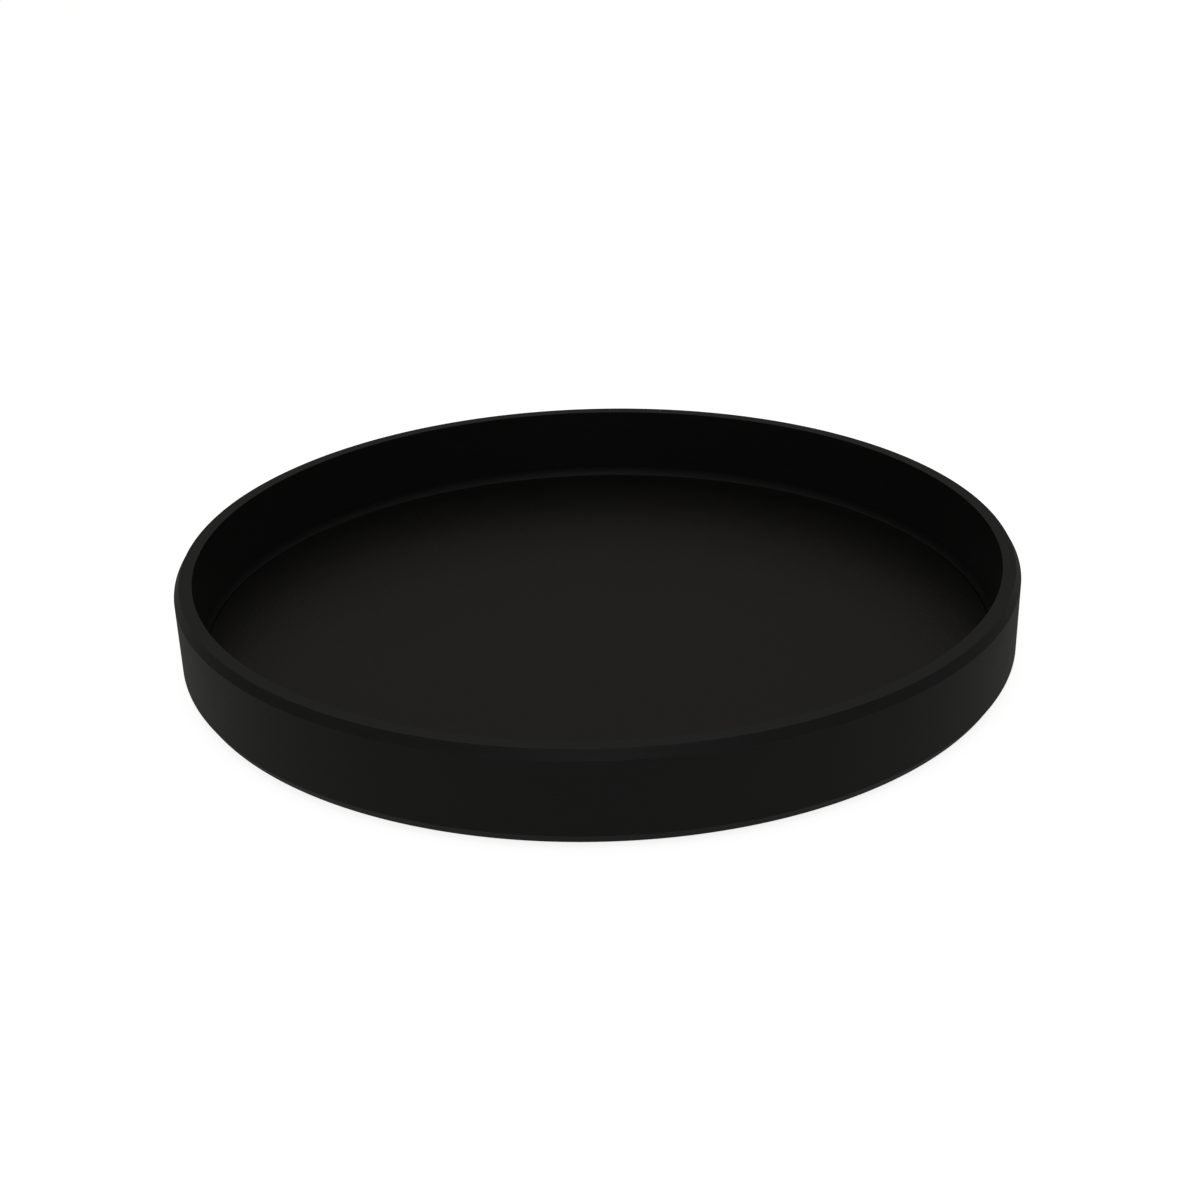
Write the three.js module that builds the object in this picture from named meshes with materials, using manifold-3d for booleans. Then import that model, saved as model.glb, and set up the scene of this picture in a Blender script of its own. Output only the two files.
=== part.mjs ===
// A round serving tray of black-lacquered bent wood, in millimetres, +Z up.
// The origin is the centre of the tray on the table that its feet stand on.
// A hoop laminated from four plies stands round a thin base panel. Each ply is a strip bent into a ring,
// whose tapered ends meet in a glued scarf joint, and the four joints are spread round the hoop. The two
// inner plies stop short at the bottom, and the panel is glued into the rabbet that they leave. A cove bead
// covers the inside corner, a rubber mat lies loose on the panel inside the bead, and six rubber feet are
// pushed into the panel from below.
import * as THREE from "three";
import { mergeVertices } from "three/addons/utils/BufferGeometryUtils.js";
import Module from "manifold-3d";

// Driving dimensions
const OUTER_RADIUS = 190;
const HOOP_HEIGHT = 40;
const PLY_THICKNESS = { inner: 1.6, second: 2.0, third: 2.0, outer: 2.6 };
const BEVEL_WIDTH = 2.4; // how far each outer edge is cut back, measured along the radius
const BEVEL_HEIGHT = 4;
const SCARF_SLOPE = 8; // a scarf joint's length for each unit of ply thickness
const PANEL_THICKNESS = 2.5;
const MAT_THICKNESS = 1;
const COVE_RADIUS = 10;
const COVE_RISE = 5.5; // height of the cove above the top of the mat
const FOOT_STAND = 1.5; // how far the feet hold the hoop off the table
const FOOT_RADIUS = 8;
const FOOT_STEM_RADIUS = 3;
const FOOT_STEM_LENGTH = 2.2;
const FOOT_CIRCLE_RADIUS = 165;
const FOOT_COUNT = 6;
const SOFT_EDGE = 0.4; // small chamfer on the edges of the rubber pieces
const GLUE_FILM = 0.1; // between one ply and the next, and between the hoop and the bead
const GLUE_GAP = 0.3; // in the scarf joints, and round the panel and the foot stems
const MAT_CLEARANCE = 0.4; // round the mat, so that it lifts out

// Where round the hoop each ply's scarf joint is, in degrees from +X
const SCARF_TURN = { inner: -90, second: 0, third: 180, outer: 90 };

// How finely round shapes are divided, and how far a cut runs on past the piece that it goes through
const RING_STEPS = 96;
const FOOT_STEPS = 24;
const COVE_STEPS = 6;
const OVERRUN = 1;

// Heights and radii that follow from them
const HOOP_BOTTOM = FOOT_STAND;
const HOOP_TOP = HOOP_BOTTOM + HOOP_HEIGHT;
const PANEL_TOP = HOOP_BOTTOM + PANEL_THICKNESS;
const FLOOR = PANEL_TOP + MAT_THICKNESS;
const OUTER_PLY_INSIDE = OUTER_RADIUS - PLY_THICKNESS.outer;
const THIRD_PLY_INSIDE = OUTER_PLY_INSIDE - PLY_THICKNESS.third;
const SECOND_PLY_INSIDE = THIRD_PLY_INSIDE - PLY_THICKNESS.second;
const WELL_RADIUS = SECOND_PLY_INSIDE - PLY_THICKNESS.inner;
const COVE_TOE_RADIUS =
  WELL_RADIUS - GLUE_FILM - COVE_RADIUS + Math.sqrt(COVE_RADIUS ** 2 - COVE_RISE ** 2);

const wasm = await Module();
wasm.setup();

const lacquer = new THREE.MeshStandardMaterial({
  color: 0x0c0c0c,
  roughness: 0.42,
  metalness: 0,
});
const matRubber = new THREE.MeshStandardMaterial({
  color: 0x0d0c0b,
  roughness: 0.5,
  metalness: 0,
});
const footRubber = new THREE.MeshStandardMaterial({
  color: 0x101010,
  roughness: 0.8,
  metalness: 0,
});

// Turns an outline about the Z axis. The outline is a list of [radius, height] points that starts and
// ends in the same place, or starts and ends on the axis, and runs anticlockwise round the material.
function turned(outline, steps) {
  const points = outline.map(([radius, height]) => new THREE.Vector2(radius, height));
  return new THREE.LatheGeometry(points, steps).rotateX(Math.PI / 2);
}

function closed(outline) {
  return [...outline, outline[0]];
}

// A closed geometry as a solid that can be cut.
function solid(geometry) {
  const bare = geometry.clone();
  bare.deleteAttribute("normal");
  bare.deleteAttribute("uv");
  const merged = mergeVertices(bare);
  const vertProperties = merged.attributes.position.array;
  const triVerts = new Uint32Array(merged.index.array);
  return new wasm.Manifold(new wasm.Mesh({ numProp: 3, vertProperties, triVerts }));
}

// The geometry that is left when tool is cut away from it.
function cut(geometry, tool) {
  const left = solid(geometry).subtract(solid(tool)).getMesh();
  const result = new THREE.BufferGeometry();
  result.setAttribute("position", new THREE.BufferAttribute(left.vertProperties, 3));
  result.setIndex(new THREE.BufferAttribute(left.triVerts, 1));
  result.computeVertexNormals();
  return result;
}

function piece(name, geometry, material) {
  const mesh = new THREE.Mesh(geometry, material);
  mesh.name = name;
  return mesh;
}

// The glue line of a ply's scarf joint: a thin upright slab that crosses the ply at a shallow slope.
function scarfLine(insideRadius, thickness, degrees) {
  const middle = insideRadius + thickness / 2;
  const rise = thickness / 2 + OVERRUN;
  const reach = rise * SCARF_SLOPE;
  const halfGap = GLUE_GAP / 2;
  const slab = new THREE.Shape([
    new THREE.Vector2(middle - rise - halfGap, -reach),
    new THREE.Vector2(middle - rise + halfGap, -reach),
    new THREE.Vector2(middle + rise + halfGap, reach),
    new THREE.Vector2(middle + rise - halfGap, reach),
  ]);
  const cutter = new THREE.ExtrudeGeometry(slab, {
    depth: HOOP_TOP + OVERRUN,
    bevelEnabled: false,
  });
  return cutter.rotateZ(THREE.MathUtils.degToRad(degrees));
}

// A ply of the hoop: an outline turned into a ring, and parted at its scarf joint.
function ply(name, outline, insideRadius, thickness, scarfTurn) {
  const ring = turned(closed(outline), RING_STEPS);
  return piece(name, cut(ring, scarfLine(insideRadius, thickness, scarfTurn)), lacquer);
}

// One of the hoop's three plain plies: a band of even thickness, standing on its lower edge. The glue
// film between it and the next ply is left open round its outside.
function plainPly(name, insideRadius, thickness, bottom, scarfTurn) {
  const outsideRadius = insideRadius + thickness - GLUE_FILM;
  const outline = [
    [insideRadius, bottom],
    [outsideRadius, bottom],
    [outsideRadius, HOOP_TOP],
    [insideRadius, HOOP_TOP],
  ];
  return ply(name, outline, insideRadius, thickness, scarfTurn);
}

// The outer ply, with a bevel along its top and bottom outer edges.
function outerPly() {
  const outline = [
    [OUTER_PLY_INSIDE, HOOP_BOTTOM],
    [OUTER_RADIUS - BEVEL_WIDTH, HOOP_BOTTOM],
    [OUTER_RADIUS, HOOP_BOTTOM + BEVEL_HEIGHT],
    [OUTER_RADIUS, HOOP_TOP - BEVEL_HEIGHT],
    [OUTER_RADIUS - BEVEL_WIDTH, HOOP_TOP],
    [OUTER_PLY_INSIDE, HOOP_TOP],
  ];
  const { outer } = PLY_THICKNESS;
  return ply("rim_ply_outer", outline, OUTER_PLY_INSIDE, outer, SCARF_TURN.outer);
}

// The hoop. Its two inner plies stand on the base panel, and the two outer ones run down past it.
function hoop() {
  const { inner, second, third } = PLY_THICKNESS;
  const group = new THREE.Group();
  group.add(
    plainPly("rim_ply_inner", WELL_RADIUS, inner, PANEL_TOP, SCARF_TURN.inner),
    plainPly("rim_ply_second", SECOND_PLY_INSIDE, second, PANEL_TOP, SCARF_TURN.second),
    plainPly("rim_ply_third", THIRD_PLY_INSIDE, third, HOOP_BOTTOM, SCARF_TURN.third),
    outerPly(),
  );
  return group;
}

// Where the feet go, as points round a circle.
function footPlaces() {
  return Array.from({ length: FOOT_COUNT }, (_, i) => {
    const turn = (2 * Math.PI * (i + 0.5)) / FOOT_COUNT;
    return new THREE.Vector2(Math.cos(turn), Math.sin(turn)).multiplyScalar(FOOT_CIRCLE_RADIUS);
  });
}

function circlePath(PathType, centre, radius, steps) {
  const points = Array.from({ length: steps }, (_, i) => {
    const turn = (2 * Math.PI * i) / steps;
    return new THREE.Vector2(Math.cos(turn), Math.sin(turn)).multiplyScalar(radius).add(centre);
  });
  return new PathType(points);
}

// The plywood base, with a hole through it for each foot's stem.
function basePanel() {
  const centre = new THREE.Vector2(0, 0);
  const disc = circlePath(THREE.Shape, centre, THIRD_PLY_INSIDE - GLUE_GAP, RING_STEPS);
  disc.holes = footPlaces().map((place) =>
    circlePath(THREE.Path, place, FOOT_STEM_RADIUS + GLUE_GAP, FOOT_STEPS),
  );
  const geometry = new THREE.ExtrudeGeometry(disc, {
    depth: PANEL_THICKNESS,
    bevelEnabled: false,
  });
  const panel = piece("base_panel", geometry, lacquer);
  panel.position.z = HOOP_BOTTOM;
  return panel;
}

// The bead in the inside corner: a hollow curve that leaves the wall upright, runs down to the top of the
// mat, and ends in a short upright toe that the mat lies against.
function coveBead() {
  const outside = WELL_RADIUS - GLUE_FILM;
  const sweep = Math.asin(COVE_RISE / COVE_RADIUS);
  const curve = Array.from({ length: COVE_STEPS + 1 }, (_, i) => {
    const turn = (sweep * i) / COVE_STEPS;
    return [
      outside - COVE_RADIUS + COVE_RADIUS * Math.cos(turn),
      FLOOR + COVE_RISE - COVE_RADIUS * Math.sin(turn),
    ];
  });
  const outline = [...curve, [COVE_TOE_RADIUS, PANEL_TOP], [outside, PANEL_TOP]];
  return piece("cove_bead", turned(closed(outline), RING_STEPS), lacquer);
}

// The mat: a loose rubber disc with a small chamfer round its top and bottom edges.
function nonSlipMat() {
  const radius = COVE_TOE_RADIUS - MAT_CLEARANCE;
  const edge = SOFT_EDGE / 2;
  const outline = [
    [0, 0],
    [radius - edge, 0],
    [radius, edge],
    [radius, MAT_THICKNESS - edge],
    [radius - edge, MAT_THICKNESS],
    [0, MAT_THICKNESS],
  ];
  const mat = piece("non_slip_mat", turned(outline, RING_STEPS), matRubber);
  mat.position.z = PANEL_TOP;
  return mat;
}

// A push-in foot: a low round pad with a stem that goes up into the panel.
function foot(name, place) {
  const outline = [
    [0, 0],
    [FOOT_RADIUS - SOFT_EDGE, 0],
    [FOOT_RADIUS, SOFT_EDGE],
    [FOOT_RADIUS, FOOT_STAND],
    [FOOT_STEM_RADIUS, FOOT_STAND],
    [FOOT_STEM_RADIUS, FOOT_STAND + FOOT_STEM_LENGTH],
    [0, FOOT_STAND + FOOT_STEM_LENGTH],
  ];
  const mesh = piece(name, turned(outline, FOOT_STEPS), footRubber);
  mesh.position.set(place.x, place.y, 0);
  return mesh;
}

function feet() {
  const group = new THREE.Group();
  footPlaces().forEach((place, i) => group.add(foot(`foot_${i + 1}`, place)));
  return group;
}

const tray = new THREE.Group();
tray.add(hoop(), basePanel(), coveBead(), nonSlipMat(), feet());

export default tray;
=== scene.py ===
import math

import bmesh
import bpy
from mathutils import Matrix, Vector


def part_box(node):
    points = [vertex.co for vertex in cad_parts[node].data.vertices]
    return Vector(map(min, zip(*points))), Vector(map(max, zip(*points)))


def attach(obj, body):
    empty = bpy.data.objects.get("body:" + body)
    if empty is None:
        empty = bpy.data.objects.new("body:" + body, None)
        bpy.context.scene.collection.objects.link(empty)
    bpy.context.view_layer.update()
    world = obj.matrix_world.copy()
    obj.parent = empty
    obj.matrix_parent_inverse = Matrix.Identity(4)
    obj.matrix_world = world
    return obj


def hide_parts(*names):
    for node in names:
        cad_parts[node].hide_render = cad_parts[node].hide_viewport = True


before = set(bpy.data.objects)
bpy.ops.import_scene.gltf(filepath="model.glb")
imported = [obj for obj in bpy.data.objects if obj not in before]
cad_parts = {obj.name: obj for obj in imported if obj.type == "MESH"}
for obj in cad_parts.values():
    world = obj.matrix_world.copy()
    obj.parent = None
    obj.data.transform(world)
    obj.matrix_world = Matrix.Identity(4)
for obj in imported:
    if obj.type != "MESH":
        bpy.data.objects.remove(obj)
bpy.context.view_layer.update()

MM = 0.001

# ---------------------------------------------------------------- sizes

# The CAD model's own sizes, for shapes that a node's box doesn't give
GLUE_FILM = 0.1 * MM
GLUE_GAP = 0.3 * MM
BEVEL_WIDTH = 2.4 * MM
BEVEL_HEIGHT = 4 * MM
COVE_RADIUS = 10 * MM
FOOT_STEM_RADIUS = 3 * MM
SCARF_SLOPE = 8
SCARF_TURN = {"inner": -90, "second": 0, "third": 180, "outer": 90}  # degrees from +X

# The hoop. Here the lacquer closes the glue films, so that each ply meets the next one.
HOOP_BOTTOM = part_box("rim_ply_outer")[0].z
HOOP_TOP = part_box("rim_ply_outer")[1].z
WELL_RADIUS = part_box("cove_bead")[1].x + GLUE_FILM
INNER_PLY_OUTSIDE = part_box("rim_ply_inner")[1].x + GLUE_FILM
SECOND_PLY_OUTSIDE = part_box("rim_ply_second")[1].x + GLUE_FILM
THIRD_PLY_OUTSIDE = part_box("rim_ply_third")[1].x + GLUE_FILM
OUTER_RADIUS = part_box("rim_ply_outer")[1].x

# The floor
PANEL_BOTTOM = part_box("base_panel")[0].z
PANEL_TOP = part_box("base_panel")[1].z
PANEL_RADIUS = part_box("base_panel")[1].x
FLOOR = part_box("non_slip_mat")[1].z
MAT_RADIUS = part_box("non_slip_mat")[1].x
COVE_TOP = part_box("cove_bead")[1].z
FEET = [name for name in sorted(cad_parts) if name.startswith("foot_")]

# How far the lacquer and the rubber round their edges
WALL_EDGE = 0.35 * MM  # where a bevel meets the outer wall
RIM_EDGE = 0.175 * MM  # where a bevel meets the hoop's top or bottom
LIP_EDGE = 0.3 * MM  # between the hoop's top and its inner wall
TOE_EDGE = 0.15 * MM
PANEL_EDGE = 0.25 * MM
MAT_EDGE = 0.3 * MM
FOOT_EDGE = 0.5 * MM
FOOT_RIM_EDGE = 0.125 * MM
STEM_EDGE = 0.6 * MM

# The shallow dish moulded into the underside of each foot
FOOT_DISH_RADIUS = 5 * MM
FOOT_DISH_DEPTH = 0.5 * MM

# How finely round shapes are divided
RING_STEPS = 360
FOOT_STEPS = 72
HOLE_STEPS = 48
COVE_STEPS = 12
ARC_STEPS = 6
PANEL_EDGE_STEPS = 3

# Shading: which edges stay sharp, and how strongly a large face stays flat beside a small one
SHARP_ANGLE = math.radians(30)
FLAT_FACE_WEIGHT = 100

# ---------------------------------------------------------------- shapes


def rounded(corners):
    """An outline from (radius, height, edge) corners, each rounded by an arc of its edge's size."""
    outline = []
    count = len(corners)
    for i, (radius, height, edge) in enumerate(corners):
        here = Vector((radius, height))
        if edge == 0:
            outline.append(here)
            continue
        before = (Vector(corners[i - 1][:2]) - here).normalized()
        after = (Vector(corners[(i + 1) % count][:2]) - here).normalized()
        half_angle = before.angle(after) / 2
        centre = here + (before + after).normalized() * (edge / math.sin(half_angle))
        start = here + before * (edge / math.tan(half_angle)) - centre
        end = here + after * (edge / math.tan(half_angle)) - centre
        sweep = start.angle_signed(end)
        for step in range(ARC_STEPS + 1):
            turn = Matrix.Rotation(-sweep * step / ARC_STEPS, 2)
            outline.append(centre + turn @ start)
    return outline


def circle(mesh, radius, height, steps, centre=(0, 0)):
    """New vertices of mesh, evenly spaced round a level circle."""
    x, y = centre
    turns = [2 * math.pi * step / steps for step in range(steps)]
    places = [(x + radius * math.cos(turn), y + radius * math.sin(turn), height) for turn in turns]
    return [mesh.verts.new(place) for place in places]


def turned(name, outline, steps, centre=(0, 0)):
    """An object made by turning an outline of (radius, height) points about an upright axis.
    Points on the axis become one vertex; an outline with none is a ring that closes on itself."""
    mesh = bmesh.new()
    circles = []
    for radius, height in outline:
        if radius == 0:
            circles.append([mesh.verts.new((*centre, height))] * steps)
        else:
            circles.append(circle(mesh, radius, height, steps, centre))
    is_ring = outline[0][0] > 0
    after = circles[1:] + (circles[:1] if is_ring else [])
    for low, high in zip(circles, after):
        for i in range(steps):
            j = (i + 1) % steps
            corners = dict.fromkeys((low[i], low[j], high[j], high[i]))
            mesh.faces.new(list(corners))
    return as_object(name, mesh)


def in_scene(name, data):
    obj = bpy.data.objects.new(name, data)
    bpy.context.scene.collection.objects.link(obj)
    return obj


def as_object(name, mesh):
    """Puts a finished mesh in the scene, smooth except at its sharp edges."""
    bmesh.ops.recalc_face_normals(mesh, faces=mesh.faces)
    data = bpy.data.meshes.new(name)
    mesh.to_mesh(data)
    mesh.free()
    data.shade_smooth()
    data.set_sharp_from_angle(angle=SHARP_ANGLE)
    obj = in_scene(name, data)
    normals = obj.modifiers.new("even_shading", "WEIGHTED_NORMAL")
    normals.weight = FLAT_FACE_WEIGHT
    normals.keep_sharp = True
    return obj


def stands_for(obj, node, body, material):
    """Puts obj in the place of a CAD node, on its body and with its finish."""
    obj.data.materials.append(material)
    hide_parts(node)
    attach(obj, body)


def middle_of(node):
    low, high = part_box(node)
    return (low.x + high.x) / 2, (low.y + high.y) / 2


# ---------------------------------------------------------------- materials

# The range in which most of a noise texture lies
NOISE_LOW = 0.3
NOISE_HIGH = 0.7


class Nodes:
    """A short way to write the nodes of a new material, or of another tree."""

    def __init__(self, name=None, tree=None):
        if tree is None:
            self.material = bpy.data.materials.new(name)
            self.material.use_nodes = True
            tree = self.material.node_tree
        self.tree = tree
        self.tree.nodes.clear()

    def add(self, kind, inputs=None, **settings):
        node = self.tree.nodes.new("ShaderNode" + kind)
        for key, value in settings.items():
            setattr(node, key, value)
        for key, value in (inputs or {}).items():
            socket = node.inputs[key]
            if isinstance(value, bpy.types.NodeSocket):
                self.tree.links.new(value, socket)
            else:
                socket.default_value = value
        return node

    def here(self):
        return self.add("TexCoord").outputs["Object"]

    def math(self, operation, *values):
        return self.add("Math", dict(enumerate(values)), operation=operation).outputs[0]

    def plus(self, a, b):
        return self.math("ADD", a, b)

    def minus(self, a, b):
        return self.math("SUBTRACT", a, b)

    def times(self, a, b):
        return self.math("MULTIPLY", a, b)

    def vector(self, operation, a, b):
        node = self.add("VectorMath", {0: a, 1: b}, operation=operation)
        return node.outputs["Value" if operation == "DOT_PRODUCT" else "Vector"]

    def parts(self, vector):
        return self.add("SeparateXYZ", {"Vector": vector}).outputs

    def radius(self, where):
        """How far a place is from the tray's upright axis."""
        flat = self.vector("MULTIPLY", where, (1, 1, 0))
        return self.add("VectorMath", {0: flat}, operation="LENGTH").outputs["Value"]

    def noise(self, where, scale, detail=3.0, roughness=0.5):
        inputs = {"Vector": where, "Scale": scale, "Detail": detail, "Roughness": roughness}
        return self.add("TexNoise", inputs).outputs["Fac"]

    def between(self, value, low, high, from_low=NOISE_LOW, from_high=NOISE_HIGH):
        """Takes a value from its own range to the one from low to high."""
        inputs = {
            "Value": value,
            "From Min": from_low,
            "From Max": from_high,
            "To Min": low,
            "To Max": high,
        }
        return self.add("MapRange", inputs).outputs["Result"]

    def fade(self, distance, reach):
        """1 where a distance is 0, fading to 0 where it is reach."""
        return self.between(distance, 1.0, 0.0, 0.0, reach)

    def grey(self, value):
        inputs = {"Red": value, "Green": value, "Blue": value}
        return self.add("CombineColor", inputs).outputs["Color"]

    def tinted(self, value, tint):
        return self.vector("MULTIPLY", self.grey(value), tint)

    def bump(self, height):
        """The surface's normal, with a height in metres added to the surface."""
        return self.add("Bump", {"Height": height, "Distance": 1.0}).outputs["Normal"]

    def principled(self, colour, roughness, normal, **inputs):
        sockets = {"Base Color": colour, "Roughness": roughness, "Normal": normal, **inputs}
        return self.add("BsdfPrincipled", sockets).outputs["BSDF"]

    def finish(self, shader):
        self.add("OutputMaterial", {"Surface": shader})
        return self.material


# The lacquer: its colour, which drifts slowly and along the grain, and its gloss
BLACK = 0.0125
BLACK_DRIFT = 0.0004
GRAIN_SHADE = 0.15
GRAIN_DULLNESS = 0.05
LACQUER_CLOUD_SCALE = 9.0
LACQUER_ROUGHNESS = (0.39, 0.43)
LACQUER_SHEEN = 0.5
BEAD_SHEEN = 0.32

# Orange peel, and the wood's grain under the lacquer
FINE_DETAIL = 2.0
PEEL_SCALE = 420.0
PEEL_DEPTH = 0.05 * MM
GRAIN_DETAIL = 4.0
GRAIN_RAGGEDNESS = 0.6
GRAIN_ALONG = 45.0
GRAIN_ACROSS = 1500.0
GRAIN_DEPTH = 0.05 * MM

# The rub that handling gives to the hoop's edges, in patches
WORN_BLACK = 0.017
EDGE_REACH = 0.7 * MM
EDGE_POLISH = 0.06
RUB_SCALE = 55.0
LEAST_RUB = 0.1

# The glue line of a scarf joint, sunk a little under the lacquer
LINE_DEPTH = 0.03 * MM
LINE_WIDTH = 0.04 * MM
LINE_REACH = 15 * MM
LINE_DULLNESS = 0.08

# The rubber of the mat, pebbled and finely grained, with painted shade in the hollows between the
# pebbles
MAT_BLACK = (0.0030, 0.0036)
MAT_TINT = (1.0, 0.96, 0.90)
MAT_ROUGHNESS = (0.36, 0.40)
MAT_SHEEN = 0.61
MAT_CLOUD_SCALE = 7.0
MAT_GRAIN_SCALE = 1600.0
MAT_GRAIN_DEPTH = 0.03 * MM
MAT_GRAIN_DULLNESS = 0.05
PEBBLE_SCALE = 800.0
PEBBLE_DEPTH = 0.08 * MM
PEBBLE_PAINTED_SHADE = 0.001

# The rubber of the feet
FOOT_BLACK = (0.016, 0.020)
FOOT_ROUGHNESS = (0.6, 0.75)
FOOT_CLOUD_SCALE = 160.0
FOOT_GRAIN_SCALE = 1800.0
FOOT_GRAIN_DEPTH = 0.03 * MM


def hoop_edge(n, where):
    """1 at the hoop's eased edges, fading to 0 a short way from them."""
    radius = n.radius(where)
    height = n.parts(where)["Z"]
    edges = [
        (WELL_RADIUS, HOOP_TOP),
        (OUTER_RADIUS - BEVEL_WIDTH, HOOP_TOP),
        (OUTER_RADIUS, HOOP_TOP - BEVEL_HEIGHT),
        (OUTER_RADIUS, HOOP_BOTTOM + BEVEL_HEIGHT),
        (OUTER_RADIUS - BEVEL_WIDTH, HOOP_BOTTOM),
    ]
    nearest = None
    for edge_radius, edge_height in edges:
        across = n.minus(radius, edge_radius)
        up = n.minus(height, edge_height)
        away = n.math("SQRT", n.plus(n.times(across, across), n.times(up, up)))
        nearest = away if nearest is None else n.math("MINIMUM", nearest, away)
    return n.fade(nearest, EDGE_REACH)


def grain_noise(n, streaks):
    return n.noise(streaks, 1.0, GRAIN_DETAIL, GRAIN_RAGGEDNESS)


def bent_grain(n, where):
    """Wood grain that runs round the hoop: fine across the wood's width, drawn out along it."""
    parts = n.parts(where)
    inputs = {
        "X": n.times(parts["X"], GRAIN_ALONG),
        "Y": n.times(parts["Y"], GRAIN_ALONG),
        "Z": n.times(n.plus(parts["Z"], n.radius(where)), GRAIN_ACROSS),
    }
    return grain_noise(n, n.add("CombineXYZ", inputs).outputs["Vector"])


def straight_grain(n, where):
    return grain_noise(n, n.vector("MULTIPLY", where, (GRAIN_ALONG, GRAIN_ACROSS, GRAIN_ACROSS)))


def scarf_line(n, where, middle, degrees):
    """1 on the glue line of a ply's scarf joint, where it comes out under the lacquer."""
    turn = math.radians(degrees)
    out = n.vector("DOT_PRODUCT", where, (math.cos(turn), math.sin(turn), 0))
    along = n.vector("DOT_PRODUCT", where, (-math.sin(turn), math.cos(turn), 0))
    slope = n.times(n.minus(out, middle), SCARF_SLOPE)
    off_plane = n.math("DIVIDE", n.minus(slope, along), math.hypot(1, SCARF_SLOPE))
    line = n.fade(n.math("ABSOLUTE", off_plane), LINE_WIDTH)
    is_near = n.math("LESS_THAN", n.math("ABSOLUTE", along), LINE_REACH)
    is_this_side = n.math("GREATER_THAN", out, 0.0)
    return n.times(line, n.times(is_near, is_this_side))


def satin_lacquer(name, grain, edge=None, line=None, sheen=LACQUER_SHEEN):
    """Thin satin black lacquer over wood. grain, edge and line are functions of the nodes and the
    place, and say how strong the grain, the rub and the glue line are there."""
    n = Nodes(name)
    where = n.here()
    cloud = n.noise(where, LACQUER_CLOUD_SCALE)
    streaks = grain(n, where)
    peel = n.noise(where, PEEL_SCALE, FINE_DETAIL)
    shade = n.between(streaks, BLACK * (1 - GRAIN_SHADE), BLACK * (1 + GRAIN_SHADE))
    colour = n.plus(n.between(cloud, -BLACK_DRIFT, BLACK_DRIFT), shade)
    roughness = n.plus(n.between(cloud, *LACQUER_ROUGHNESS), n.between(streaks, 0.0, GRAIN_DULLNESS))
    depth = n.plus(n.times(peel, PEEL_DEPTH), n.times(streaks, GRAIN_DEPTH))
    if edge:
        patches = n.between(n.noise(where, RUB_SCALE), LEAST_RUB, 1.0)
        rub = n.times(edge(n, where), patches)
        colour = n.plus(colour, n.times(rub, WORN_BLACK - BLACK))
        roughness = n.plus(roughness, n.times(rub, -EDGE_POLISH))
    if line:
        sunk = line(n, where)
        colour = n.plus(colour, n.times(sunk, WORN_BLACK - BLACK))
        roughness = n.plus(roughness, n.times(sunk, LINE_DULLNESS))
        depth = n.plus(depth, n.times(sunk, -LINE_DEPTH))
    gloss = {"Specular IOR Level": sheen}
    return n.finish(n.principled(n.grey(colour), roughness, n.bump(depth), **gloss))


def ply_lacquer(ply, inside, outside):
    def line(n, where):
        return scarf_line(n, where, (inside + outside) / 2, SCARF_TURN[ply])

    return satin_lacquer("satin_black_lacquer_" + ply, bent_grain, hoop_edge, line)


def mat_rubber():
    n = Nodes("fine_grain_rubber")
    where = n.here()
    cloud = n.noise(where, MAT_CLOUD_SCALE)
    grain = n.noise(where, MAT_GRAIN_SCALE, FINE_DETAIL)
    cells = n.add("TexVoronoi", {"Vector": where, "Scale": PEBBLE_SCALE}, feature="SMOOTH_F1")
    pebbles = cells.outputs["Distance"]
    # Darker where the pebbles' bump is low: painted shade in the hollows between them
    shade = n.plus(n.between(cloud, *MAT_BLACK), n.times(pebbles, -PEBBLE_PAINTED_SHADE))
    roughness = n.plus(n.between(cloud, *MAT_ROUGHNESS), n.between(grain, 0.0, MAT_GRAIN_DULLNESS))
    depth = n.plus(n.times(pebbles, -PEBBLE_DEPTH), n.times(grain, MAT_GRAIN_DEPTH))
    gloss = {"Specular IOR Level": MAT_SHEEN, "Specular Tint": (*MAT_TINT, 1)}
    return n.finish(n.principled(n.tinted(shade, MAT_TINT), roughness, n.bump(depth), **gloss))


def foot_rubber():
    n = Nodes("moulded_foot_rubber")
    where = n.here()
    cloud = n.noise(where, FOOT_CLOUD_SCALE)
    grain = n.noise(where, FOOT_GRAIN_SCALE, FINE_DETAIL)
    colour = n.grey(n.between(cloud, *FOOT_BLACK))
    roughness = n.between(grain, *FOOT_ROUGHNESS)
    depth = n.times(grain, FOOT_GRAIN_DEPTH)
    return n.finish(n.principled(colour, roughness, n.bump(depth)))


# ---------------------------------------------------------------- pieces


def hoop_ply(ply, outline, inside, outside):
    node = "rim_ply_" + ply
    obj = turned(node + "_lacquered", rounded(outline), RING_STEPS)
    stands_for(obj, node, "tray", ply_lacquer(ply, inside, outside))


def plain_ply(ply, inside, outside, bottom, lip=0):
    """A band of even thickness. Only the inner ply's lip shows, so only that one is eased."""
    outline = [
        (inside, bottom, 0),
        (outside, bottom, 0),
        (outside, HOOP_TOP, 0),
        (inside, HOOP_TOP, lip),
    ]
    hoop_ply(ply, outline, inside, outside)


def outer_ply():
    outline = [
        (THIRD_PLY_OUTSIDE, HOOP_BOTTOM, 0),
        (OUTER_RADIUS - BEVEL_WIDTH, HOOP_BOTTOM, RIM_EDGE),
        (OUTER_RADIUS, HOOP_BOTTOM + BEVEL_HEIGHT, WALL_EDGE),
        (OUTER_RADIUS, HOOP_TOP - BEVEL_HEIGHT, WALL_EDGE),
        (OUTER_RADIUS - BEVEL_WIDTH, HOOP_TOP, RIM_EDGE),
        (THIRD_PLY_OUTSIDE, HOOP_TOP, 0),
    ]
    hoop_ply("outer", outline, THIRD_PLY_OUTSIDE, OUTER_RADIUS)


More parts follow.
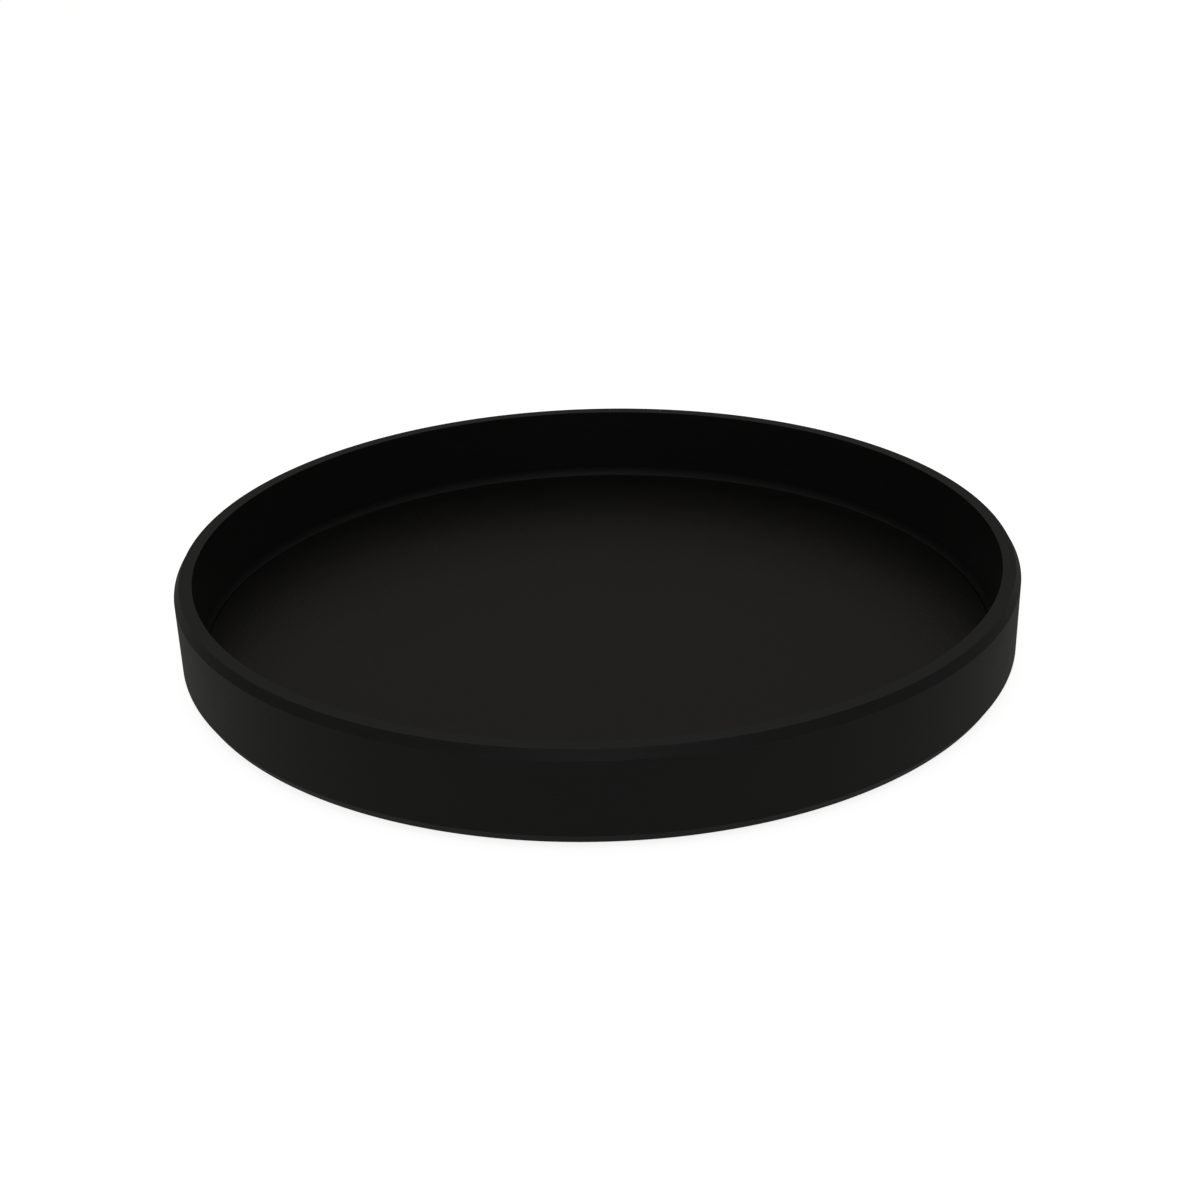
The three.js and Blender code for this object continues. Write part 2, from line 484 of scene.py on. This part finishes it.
def cove_bead():
    """The hollow curve from the upright wall down to the mat, ending in a small eased toe."""
    centre = WELL_RADIUS - COVE_RADIUS
    sweep = math.asin((COVE_TOP - FLOOR) / COVE_RADIUS)
    curve = []
    for step in range(COVE_STEPS + 1):
        turn = sweep * step / COVE_STEPS
        radius = centre + COVE_RADIUS * math.cos(turn)
        height = COVE_TOP - COVE_RADIUS * math.sin(turn)
        curve.append((radius, height, TOE_EDGE if step == COVE_STEPS else 0))
    toe = curve[-1][0]
    outline = curve + [(toe, PANEL_TOP, 0), (WELL_RADIUS, PANEL_TOP, 0)]
    obj = turned("cove_bead_lacquered", rounded(outline), RING_STEPS)
    material = satin_lacquer("satin_black_lacquer_bead", bent_grain, sheen=BEAD_SHEEN)
    stands_for(obj, "cove_bead", "tray", material)


def non_slip_mat():
    outline = [
        (0, PANEL_TOP, 0),
        (MAT_RADIUS, PANEL_TOP, MAT_EDGE),
        (MAT_RADIUS, FLOOR, MAT_EDGE),
        (0, FLOOR, 0),
    ]
    obj = turned("non_slip_mat_grained", rounded(outline), RING_STEPS)
    stands_for(obj, "non_slip_mat", "mat", mat_rubber())


def base_panel():
    """A plywood disc with a hole through it for each foot's stem, all its edges eased."""
    mesh = bmesh.new()
    circles = [circle(mesh, PANEL_RADIUS, PANEL_BOTTOM, RING_STEPS)]
    for foot in FEET:
        radius = FOOT_STEM_RADIUS + GLUE_GAP
        circles.append(circle(mesh, radius, PANEL_BOTTOM, HOLE_STEPS, middle_of(foot)))
    edges = []
    for points in circles:
        for i, point in enumerate(points):
            edges.append(mesh.edges.new((points[i - 1], point)))
    bmesh.ops.triangle_fill(mesh, edges=edges, use_beauty=True)
    lifted = bmesh.ops.extrude_face_region(mesh, geom=list(mesh.faces), use_keep_orig=True)
    points = [part for part in lifted["geom"] if isinstance(part, bmesh.types.BMVert)]
    bmesh.ops.translate(mesh, verts=points, vec=(0, 0, PANEL_TOP - PANEL_BOTTOM))
    bmesh.ops.recalc_face_normals(mesh, faces=mesh.faces)
    bmesh.ops.bevel(
        mesh,
        geom=[edge for edge in mesh.edges if edge.calc_face_angle(0) > SHARP_ANGLE],
        offset=PANEL_EDGE,
        segments=PANEL_EDGE_STEPS,
        profile=0.5,
        affect="EDGES",
    )
    obj = as_object("base_panel_lacquered", mesh)
    material = satin_lacquer("satin_black_lacquer_panel", straight_grain)
    stands_for(obj, "base_panel", "tray", material)


def rubber_foot(name, material):
    """A low round pad, dished underneath, with a stem that goes up into the panel."""
    low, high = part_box(name)
    radius = (high.x - low.x) / 2
    outline = [
        (0, low.z + FOOT_DISH_DEPTH, 0),
        (FOOT_DISH_RADIUS - FOOT_DISH_DEPTH, low.z + FOOT_DISH_DEPTH, 0),
        (FOOT_DISH_RADIUS, low.z, FOOT_RIM_EDGE),
        (radius, low.z, FOOT_EDGE),
        (radius, HOOP_BOTTOM, FOOT_RIM_EDGE),
        (FOOT_STEM_RADIUS, HOOP_BOTTOM, 0),
        (FOOT_STEM_RADIUS, high.z, STEM_EDGE),
        (0, high.z, 0),
    ]
    obj = turned(name + "_moulded", rounded(outline), FOOT_STEPS, middle_of(name))
    stands_for(obj, name, "tray", material)


def tray():
    plain_ply("inner", WELL_RADIUS, INNER_PLY_OUTSIDE, PANEL_TOP, LIP_EDGE)
    plain_ply("second", INNER_PLY_OUTSIDE, SECOND_PLY_OUTSIDE, PANEL_TOP)
    plain_ply("third", SECOND_PLY_OUTSIDE, THIRD_PLY_OUTSIDE, HOOP_BOTTOM)
    outer_ply()
    cove_bead()
    base_panel()
    non_slip_mat()
    rubber = foot_rubber()
    for name in FEET:
        rubber_foot(name, rubber)


# ---------------------------------------------------------------- studio

WHITE = (1, 1, 1, 1)

# Light from all sides, dimmer towards the horizon, and the white that the camera sees behind the tray
AMBIENT = 0.168
AMBIENT_TINT = (1.0, 0.985, 0.95, 1)
HORIZON_SHARE = 0.54
HORIZON_ENDS = math.sin(math.radians(12))
OVERHEAD_STARTS = math.sin(math.radians(36))
BACKDROP = 1.0

# The floor: what it gives to the tray, less in the shade close round the hoop, and what the camera sees
FLOOR_HALF_WIDTH = 30
FLOOR_GLOW = 0.170
SHADED_SHARE = 0.86
SHADE_REACH = 10 * MM
FLOOR_WHITE = 0.85
FLOOR_PAPER = (0.95, 0.95, 0.95, 1)

# A cool soft box in front of the tray, just above the camera, and a wide one overhead
FRONT_BOX = {"size": 0.6, "distance": 1.6, "elevation": math.radians(38), "power": 0.45}
FRONT_TINT = (0.80, 0.84, 1.0)
OVERHEAD_BOX = {"size": 2.2, "distance": 1.5, "elevation": math.radians(90), "power": 3.0}
OVERHEAD_TINT = (1, 0.99, 0.97)

# The camera faces the middle of the hoop's foot, and is then turned a little off it each way
LENS = 53.4
SENSOR_WIDTH = 36
CAMERA_DISTANCE = 0.8314
CAMERA_ELEVATION = math.radians(25.86)
CAMERA_ROLL = math.radians(1.54)
CAMERA_PAN = math.radians(-0.064)
CAMERA_TILT = math.radians(0.70)


def in_front(elevation, distance):
    """A place in front of the tray, at an angle above the horizon."""
    return Vector((0, -math.cos(elevation), math.sin(elevation))) * distance


def surroundings():
    """Soft light from all sides, seen by the camera as white."""
    world = bpy.data.worlds.new("soft_studio")
    bpy.context.scene.world = world
    world.use_nodes = True
    n = Nodes(tree=world.node_tree)
    height = n.parts(n.add("TexCoord").outputs["Generated"])["Z"]
    strength = n.between(height, AMBIENT * HORIZON_SHARE, AMBIENT, HORIZON_ENDS, OVERHEAD_STARTS)
    light = n.add("Background", {"Color": AMBIENT_TINT, "Strength": strength})
    backdrop = n.add("Background", {"Color": WHITE, "Strength": BACKDROP})
    is_seen = n.add("LightPath").outputs["Is Camera Ray"]
    mix = n.add("MixShader", {0: is_seen, 1: light.outputs[0], 2: backdrop.outputs[0]})
    n.add("OutputWorld", {"Surface": mix.outputs[0]})


def floor_paper():
    """White paper that the camera sees nearly at full white, and that lights the tray only softly."""
    n = Nodes("pale_floor")
    away = n.minus(n.radius(n.here()), OUTER_RADIUS)
    strength = n.between(away, FLOOR_GLOW * SHADED_SHARE, FLOOR_GLOW, 0.0, SHADE_REACH)
    glow = n.add("Emission", {"Color": AMBIENT_TINT, "Strength": strength})
    white = n.add("Emission", {"Color": WHITE, "Strength": FLOOR_WHITE})
    paper = n.add("BsdfDiffuse", {"Color": FLOOR_PAPER})
    seen = n.add("AddShader", {0: white.outputs[0], 1: paper.outputs[0]})
    is_seen = n.add("LightPath").outputs["Is Camera Ray"]
    mix = n.add("MixShader", {0: is_seen, 1: glow.outputs[0], 2: seen.outputs[0]})
    return n.finish(mix.outputs[0])


def pale_floor():
    mesh = bmesh.new()
    bmesh.ops.create_grid(mesh, x_segments=1, y_segments=1, size=FLOOR_HALF_WIDTH)
    data = bpy.data.meshes.new("floor")
    mesh.to_mesh(data)
    mesh.free()
    data.materials.append(floor_paper())
    in_scene("floor", data)


def soft_box(name, tint, size, distance, elevation, power):
    """A wide round lamp, in front of the tray or above it, turned towards it."""
    data = bpy.data.lights.new(name, "AREA")
    data.shape = "DISK"
    data.size = size
    data.energy = power
    data.color = tint
    box = in_scene(name, data)
    box.location = in_front(elevation, distance)
    box.rotation_euler = (-box.location).to_track_quat("-Z", "Y").to_euler()


def camera():
    data = bpy.data.cameras.new("camera")
    data.lens = LENS
    data.sensor_width = SENSOR_WIDTH
    obj = in_scene("camera", data)
    away = in_front(CAMERA_ELEVATION, CAMERA_DISTANCE)
    look = (-away).to_track_quat("-Z", "Y").to_matrix()
    pan = Matrix.Rotation(CAMERA_PAN, 3, "Y")
    tilt = Matrix.Rotation(CAMERA_TILT, 3, "X")
    roll = Matrix.Rotation(-CAMERA_ROLL, 3, "Z")
    turn = look @ pan @ tilt @ roll
    place = Vector((0, 0, HOOP_BOTTOM)) + away
    obj.matrix_world = Matrix.Translation(place) @ turn.to_4x4()
    bpy.context.scene.camera = obj


def studio():
    surroundings()
    pale_floor()
    soft_box("front_soft_box", FRONT_TINT, **FRONT_BOX)
    soft_box("overhead_soft_box", OVERHEAD_TINT, **OVERHEAD_BOX)
    camera()
    bpy.context.scene.view_settings.view_transform = "Standard"


tray()
studio()
